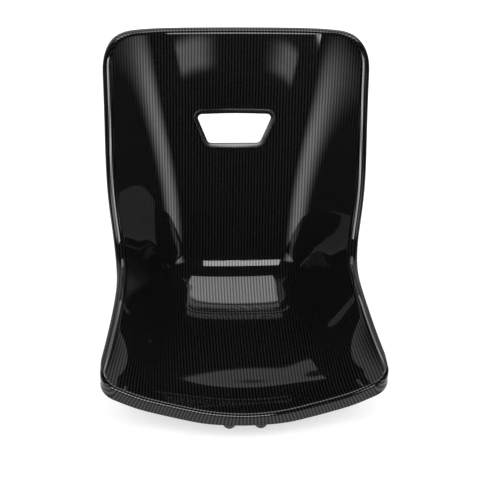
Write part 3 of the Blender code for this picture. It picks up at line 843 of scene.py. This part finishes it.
# points inside the slot belong to no face and are left out
used = np.unique(np.array(faces))
renumber = np.full(len(points), -1)
renumber[used] = np.arange(len(used))
shellMesh = meshFrom("seatShell", points[used] + offset, renumber[np.array(faces)])
vectorAttribute(shellMesh, "facing", facing[used])
corners = np.empty(len(shellMesh.loops), np.int32)
shellMesh.loops.foreach_get("vertex_index", corners)
weaveMap = shellMesh.uv_layers.new(name="weave")
weaveUv = np.stack([weaveU[used][corners], weaveV[used][corners]], axis=1)
weaveMap.data.foreach_set("uv", weaveUv.astype(np.float32).ravel())
shell = objectFrom("seatShell", shellMesh)
wallTree, wallIds = laminateTree()
runTree(shell, wallTree, wallIds, {"Wall": bucket["wall"], "Finish": shellFinish})
smoothed(shell, bucket["sharpFrom"])
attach(shell, "root")
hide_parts("seat_shell")
print("shell made:", len(shell.data.polygons), "faces")


# Slot trim and the ring behind it, each swept once round the slot

ring = {
    "soft": 0.0007,
    "grip": 0.0065,
    "bulb": 0.0009,
    "doublerWidth": 0.018,
    "doublerWall": 0.0015,
    "bond": 0.0005,
    "doublerSoft": 0.0004,
    "arcSteps": 5,
    "sharpFrom": math.radians(40),
}


def loopOf(name, points, facing):
    following = np.roll(np.arange(len(points)), -1)
    loop = objectFrom(name, meshFrom(name, points, [], list(enumerate(following))))
    vectorAttribute(loop.data, "facing", facing)
    return loop


# A closed outline of (outset, lift) corners, each rounded by its own radius
def roundedOutline(corners, steps):
    found = []
    for i, (x, y, radius) in enumerate(corners):
        here = np.array([x, y])
        before = unit(np.array(corners[i - 1][:2]) - here)
        after = unit(np.array(corners[(i + 1) % len(corners)][:2]) - here)
        if radius == 0:
            found.append(here)
            continue
        half = math.acos(float(np.clip(before @ after, -1, 1))) / 2
        reach = radius / math.tan(half)
        middle = here + unit(before + after) * radius / math.sin(half)
        first, last = here + before * reach - middle, here + after * reach - middle
        for share in np.linspace(0, 1, steps + 1):
            found.append(middle + radius * unit((1 - share) * first + share * last))
    return np.array(found)


def channelOutline():
    wall, front, soft = slot["trimWall"], slot["trimGap"], ring["soft"]
    end = wall + slot["trimGap"] + ring["grip"]
    rear, bulge = -bucket["wall"] - slot["trimGap"], ring["bulb"] / 3
    corners = (
        (0, rear - wall, soft), (0, front + wall, soft),
        (end, front + wall + bulge, soft), (end, front, bulge), (wall, front, 0),
        (wall, rear, 0), (end, rear, bulge), (end, rear - wall - bulge, soft),
    )
    return roundedOutline(corners, ring["arcSteps"])


def bandOutline():
    near = slot["trimWall"] + 2 * slot["trimGap"] + ring["grip"]
    far = near + ring["doublerWidth"]
    front = -bucket["wall"] - ring["bond"]
    rear, soft = front - ring["doublerWall"], ring["doublerSoft"]
    middle = (near + far) / 2
    corners = (
        (near, front, 0), (middle, front, 0), (far, front, 0),
        (far, rear, soft), (middle, rear, 0), (near, rear, soft),
    )
    return roundedOutline(corners, ring["arcSteps"])


def sweepRound(name, outline, finish):
    corners = [(lift, -outset, 0) for outset, lift in outline[::-1]]
    edges = [(k, (k + 1) % len(outline)) for k in range(len(outline))]
    section = objectFrom(name + "Section", meshFrom(name + "Section", corners, [], edges))
    x, along = slotOutline(0.0).T
    piece = loopOf(name, surface(x, along), surfaceNormal(x, along))
    tree, ids = sweepTree()
    runTree(piece, tree, ids, {"Section": section, "Finish": finish})
    bpy.data.objects.remove(section)
    smoothed(piece, ring["sharpFrom"])
    return piece


trimPiece = sweepRound("slotTrim", channelOutline(), trimFinish)
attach(trimPiece, "root")
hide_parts("slot_trim")

doublerPiece = sweepRound("slotDoubler", bandOutline(), rawFinish)
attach(doublerPiece, "root")
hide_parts("slot_doubler")
print("slot ring made")


# Feet, washers, studs and inserts, each shaped once and stood at its places

stand = {
    "sides": ("front_left", "front_right", "rear_left", "rear_right"),
    "segments": 64,
    "footInset": 0.003,
    "footRise": 0.004,
    "footGroove": (0.0009, 0.0022),  # depth and half height
    "grooveSteps": 9,
    "pocket": 0.0075,
    "boreGap": 0.0003,
    "studRadius": 0.004,
    "threadDepth": 0.0005,
    "threadPitch": 0.00125,
    "threadRows": 8,
    "knurls": 32,
    "knurlDepth": 0.00018,
    "knurlFrom": 0.0066,
    "edge": 0.0005,
    "sharpFrom": math.radians(35),
}


# A turned piece about the z axis; ripple gives the change of radius at (angle, height)
def turnedPiece(name, outline, ripple=None):
    outline = np.array(outline)
    count, turns = len(outline), np.arange(stand["segments"]) * 2 * math.pi / stand["segments"]
    points, faces = [], []
    index = np.empty((len(turns), count), int)
    for k, (radius, z) in enumerate(outline):
        if radius == 0:
            index[:, k] = len(points)
            points.append((0, 0, z))
            continue
        index[:, k] = len(points) + np.arange(len(turns))
        for turn in turns:
            out = radius + (ripple(radius, turn, z) if ripple else 0)
            points.append((out * math.cos(turn), out * math.sin(turn), z))
    for i in range(len(turns)):
        n = (i + 1) % len(turns)
        for k in range(count):
            m = (k + 1) % count
            face = list(dict.fromkeys((index[i, k], index[n, k], index[n, m], index[i, m])))
            if len(face) > 2:
                faces.append(face)
    return objectFrom(name, meshFrom(name, points, faces))


def standPieces(name, shape, places, finish, nodes):
    piece = objectFrom(name, meshFrom(name, places, []))
    tree, ids = standTree()
    runTree(piece, tree, ids, {"Piece": shape, "Finish": finish})
    bpy.data.objects.remove(shape)
    smoothed(piece, stand["sharpFrom"])
    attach(piece, "root")
    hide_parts(*nodes)


# Underside, height and radius of a turned CAD part
def footing(node):
    low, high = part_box(node)
    return ((low.x + high.x) / 2, (low.y + high.y) / 2, low.z), high.z - low.z, (high.x - low.x) / 2


def footOutline(height, radius):
    bore = stand["studRadius"] + stand["boreGap"]
    pocket = height - stand["pocket"]
    deep, wide = stand["footGroove"]
    middle = (stand["footRise"] + height) / 2
    edge = stand["edge"]
    outer = [(0, 0), (radius - stand["footInset"] - edge, 0), (radius - stand["footInset"], edge / 2)]
    outer += [(radius - edge / 2, stand["footRise"] - edge / 2), (radius, stand["footRise"] + edge / 2)]
    for share in np.linspace(-1, 1, stand["grooveSteps"]):
        outer.append((radius - deep * math.cos(share * math.pi / 2) ** 2, middle + wide * share))
    outer += [(radius, height - edge), (radius - edge / 3, height - edge / 3), (radius - edge, height)]
    return [*outer, (bore, height), (bore, pocket), (0, pocket)]


def studRipple(radius, turn, z):
    if radius < stand["studRadius"] - closeEnough:
        return 0
    swing = (z / stand["threadPitch"] - turn / (2 * math.pi)) % 1
    return -stand["threadDepth"] * abs(2 * swing - 1)


def studOutline(length):
    radius, edge = stand["studRadius"], stand["edge"]
    steps = round((length - 2 * edge) / stand["threadPitch"] * stand["threadRows"])
    rows = [(radius, z) for z in np.linspace(edge, length - edge, steps)]
    return [(0, 0), (radius - 2 * edge, 0), *rows, (radius - 2 * edge, length), (0, length)]


def knurlRipple(radius, turn, z):
    if radius < stand["knurlFrom"]:
        return 0
    return -stand["knurlDepth"] * (0.5 + 0.5 * math.cos(turn * stand["knurls"]))


def collarOutline(inner, outer, height):
    edge = min(stand["edge"], height / 4)
    return [
        (inner + edge / 2, 0), (outer - edge, 0), (outer - edge / 4, edge / 4), (outer, edge),
        (outer, height - edge), (outer - edge / 4, height - edge / 4), (outer - edge, height),
        (inner + edge / 2, height), (inner, height - edge / 2), (inner, edge / 2),
    ]


for end in ("front", "rear"):
    nodes = [f"foot_{end}_left", f"foot_{end}_right"]
    spots = [footing(node) for node in nodes]
    shape = turnedPiece("footShape", footOutline(spots[0][1], spots[0][2]))
    standPieces(end + "Feet", shape, [spot[0] for spot in spots], footFinish, nodes)

bore = stand["studRadius"] + stand["boreGap"]
for name, family, finish, slotName in (
    ("washers", "washer", steelFinish, "plated_steel"),
    ("studs", "stud", steelFinish, "plated_steel"),
    ("inserts", "insert", insertFinish, "insert_alloy"),
):
    nodes = [f"{family}_{side}" for side in stand["sides"]]
    spots = [footing(node) for node in nodes]
    height, radius = spots[0][1:]
    if family == "stud":
        shape = turnedPiece("studShape", studOutline(height), studRipple)
    elif family == "insert":
        shape = turnedPiece("insertShape", collarOutline(bore, radius, height), knurlRipple)
    else:
        shape = turnedPiece("washerShape", collarOutline(bore, radius, height))
    standPieces(name, shape, [spot[0] for spot in spots], finish, nodes)
print("feet made")


# The pads stay as modelled and get the bare laminate
for node in ("front_mount_pad", "rear_mount_pad_left", "rear_mount_pad_right"):
    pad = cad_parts[node]
    pad.data.materials.clear()
    pad.data.materials.append(rawFinish)
print("pads finished")


# Stage

studioView = {
    "elevation": math.radians(36.0),
    "turn": math.radians(5.1),
    "roll": math.radians(2.39),
    "distance": 2.8,
    "sensor": 36.0,
    "focus": 3.13,  # focal length in widths of the sensor
    "aim": (0.0, 0.0, 0.2),
    "aside": (0.0067093, -0.0014058),
}


# Way out from the seat; azimuth 0 is straight ahead and grows towards +x
def wayOut(azimuth, elevation):
    flat = math.cos(elevation)
    return Vector((math.sin(azimuth) * flat, -math.cos(azimuth) * flat, math.sin(elevation)))


def addCamera():
    back = wayOut(-studioView["turn"], studioView["elevation"])
    place = Vector(studioView["aim"]) + back * studioView["distance"]
    right = (-back).cross(Vector((0, 0, 1))).normalized()
    up = right.cross(-back)
    roll = studioView["roll"]
    right, up = math.cos(roll) * right + math.sin(roll) * up, math.cos(roll) * up - math.sin(roll) * right
    look = -back + right * studioView["aside"][0] + up * studioView["aside"][1]
    look.normalize()
    right = (right - right.dot(look) * look).normalized()
    up = right.cross(look)
    data = bpy.data.cameras.new("studioCamera")
    data.sensor_width = studioView["sensor"]
    data.lens = studioView["sensor"] * studioView["focus"]
    camera = bpy.data.objects.new("studioCamera", data)
    bpy.context.scene.collection.objects.link(camera)
    basis = (right, up, -look)
    rows = [[basis[c][r] for c in range(3)] + [place[r]] for r in range(3)]
    camera.matrix_world = Matrix(rows + [[0, 0, 0, 1]])
    bpy.context.scene.camera = camera


paper = {
    "reach": 6,
    "light": (0.46, 0.46, 0.46),
    "dark": (0.44, 0.44, 0.44),
    "speckle": 30.0,
    "roughness": 0.9,
    "glow": 0.62,
}


def addFloor():
    reach = paper["reach"]
    corners = [(-reach, -reach, 0), (reach, -reach, 0), (reach, reach, 0), (-reach, reach, 0)]
    mesh = meshFrom("studioFloor", corners, [(0, 1, 2, 3)])
    floor = objectFrom("studioFloor", mesh)
    made, tree, shader, _ = newMaterial("palePaper")
    speckle = addNode(tree, "ShaderNodeTexNoise")
    speckle.inputs["Scale"].default_value = paper["speckle"]
    base = mixedColour(tree, speckle.outputs[0], paper["light"], paper["dark"])
    tree.links.new(base, shader.inputs["Base Color"])
    shader.inputs["Roughness"].default_value = paper["roughness"]
    shader.inputs["Emission Color"].default_value = (1, 1, 1, 1)
    shader.inputs["Emission Strength"].default_value = paper["glow"]
    floor.data.materials.append(made)
    floor.visible_glossy = False


# azimuth, elevation, distance, shift to the side, (width, height), brightness, share that fades at the edges
softboxes = {
    "front": (-7, 23, 6.0, 0, (4.4, 2.5), 10.0, (0.06, 0.04)),
    "overhead": (180, 78, 2.0, -0.22, (1.45, 1.05), 5.0, (0.12, 0.12)),
    "highLeft": (8, 9.4, 3.0, 0, (0.28, 0.17), 2.8, (0.6, 0.6)),
    "highRight": (-0.9, 9.4, 3.0, 0, (0.36, 0.17), 2.5, (0.7, 0.6)),
    "sideRight": (50, 1, 2.4, 0, (1.60, 1.3), 4.0, (0.95, 0.6)),
    "sideLeft": (-48, 1, 2.4, 0, (1.70, 1.3), 4.2, (0.95, 0.6)),
}
seatMiddle = (0, 0.05, 0.25)
sheetCorners = ((0, 0), (1, 0), (1, 1), (0, 1))
fills = {
    "fillLeft": {"place": (-2.4, -1.2, 2.4), "size": 1.8, "power": 55.0},
    "fillRight": {"place": (2.4, -1.2, 2.4), "size": 1.8, "power": 55.0},
    "fillBack": {"place": (0.0, 2.6, 2.6), "size": 2.2, "power": 70.0},
}
# brightness of the room: in front, behind low and high, under the seat, for soft light, and as seen
air = {"front": 0.02, "behindLow": 0.40, "behindHigh": 0.85, "below": 1.30, "soft": 0.62, "shown": 1.0}


# A glowing sheet with soft edges, turned to the seat
def addSoftbox(name):
    azimuth, elevation, distance, aside, (width, height), brightness, feather = softboxes[name]
    out = wayOut(math.radians(azimuth), math.radians(elevation))
    right = Vector((0, 0, 1)).cross(out).normalized()
    up = out.cross(right)
    middle = Vector(seatMiddle) + out * distance + right * aside
    corners = [middle + right * ((x - 0.5) * width) + up * ((y - 0.5) * height) for x, y in sheetCorners]
    mesh = meshFrom(name + "Softbox", corners, [(3, 2, 1, 0)])
    sheetMap = mesh.uv_layers.new(name="sheet")
    for loop, uv in zip(mesh.loops, sheetMap.data):
        uv.uv = sheetCorners[loop.vertex_index]
    sheet = objectFrom(name + "Softbox", mesh)
    made, tree, shader, sums = newMaterial(name + "SoftboxGlow")
    uv = addNode(tree, "ShaderNodeUVMap", uv_map="sheet")
    parts = addNode(tree, "ShaderNodeSeparateXYZ")
    tree.links.new(uv.outputs[0], parts.inputs[0])
    glow = 1.0
    for axis in (0, 1):
        fromMiddle = sums.do("ABSOLUTE", sums.do("SUBTRACT", parts.outputs[axis], 0.5))
        fromEdge = sums.do("SUBTRACT", 0.5, fromMiddle)
        glow = sums.do("MULTIPLY", glow, sums.ramp(fromEdge, 0.0, feather[axis] / 2, 0.0, 1.0))
    shader.inputs["Base Color"].default_value = (0, 0, 0, 1)
    shader.inputs["Specular IOR Level"].default_value = 0
    shader.inputs["Emission Color"].default_value = (1, 1, 1, 1)
    tree.links.new(sums.do("MULTIPLY", glow, brightness), shader.inputs["Emission Strength"])
    sheet.data.materials.append(made)
    sheet.visible_camera = False
    sheet.visible_shadow = False
    sheet.visible_diffuse = False


def addLights():
    for name in softboxes:
        addSoftbox(name)
    for name, box in fills.items():
        data = bpy.data.lights.new(name, "AREA")
        data.size = box["size"]
        data.energy = box["power"]
        light = bpy.data.objects.new(name, data)
        bpy.context.scene.collection.objects.link(light)
        light.location = box["place"]
        light.rotation_euler = (-Vector(box["place"])).to_track_quat("-Z", "Y").to_euler()
        light.visible_glossy = False
    world = bpy.data.worlds.new("studioAir")
    bpy.context.scene.world = world
    world.use_nodes = True
    tree = world.node_tree
    background = tree.nodes["Background"]
    sums = Sums(tree)
    path = addNode(tree, "ShaderNodeLightPath")
    place = addNode(tree, "ShaderNodeTexCoord")
    parts = addNode(tree, "ShaderNodeSeparateXYZ")
    tree.links.new(place.outputs["Generated"], parts.inputs[0])
    height = sums.ramp(parts.outputs[2], -0.05, 0.15, air["behindLow"], air["behindHigh"])
    room = sums.mixed(sums.ramp(parts.outputs[1], 0.1, 0.5, 0.0, 1.0), air["front"], height)
    room = sums.mixed(sums.ramp(parts.outputs[2], -0.5, -0.2, 1.0, 0.0), room, air["below"])
    soft = sums.mixed(path.outputs["Is Diffuse Ray"], room, air["soft"])
    strength = sums.mixed(path.outputs["Is Camera Ray"], soft, air["shown"])
    background.inputs["Color"].default_value = (1, 1, 1, 1)
    tree.links.new(strength, background.inputs["Strength"])
    bpy.context.scene.view_settings.view_transform = "Standard"


addCamera()
addFloor()
addLights()
print("stage set")
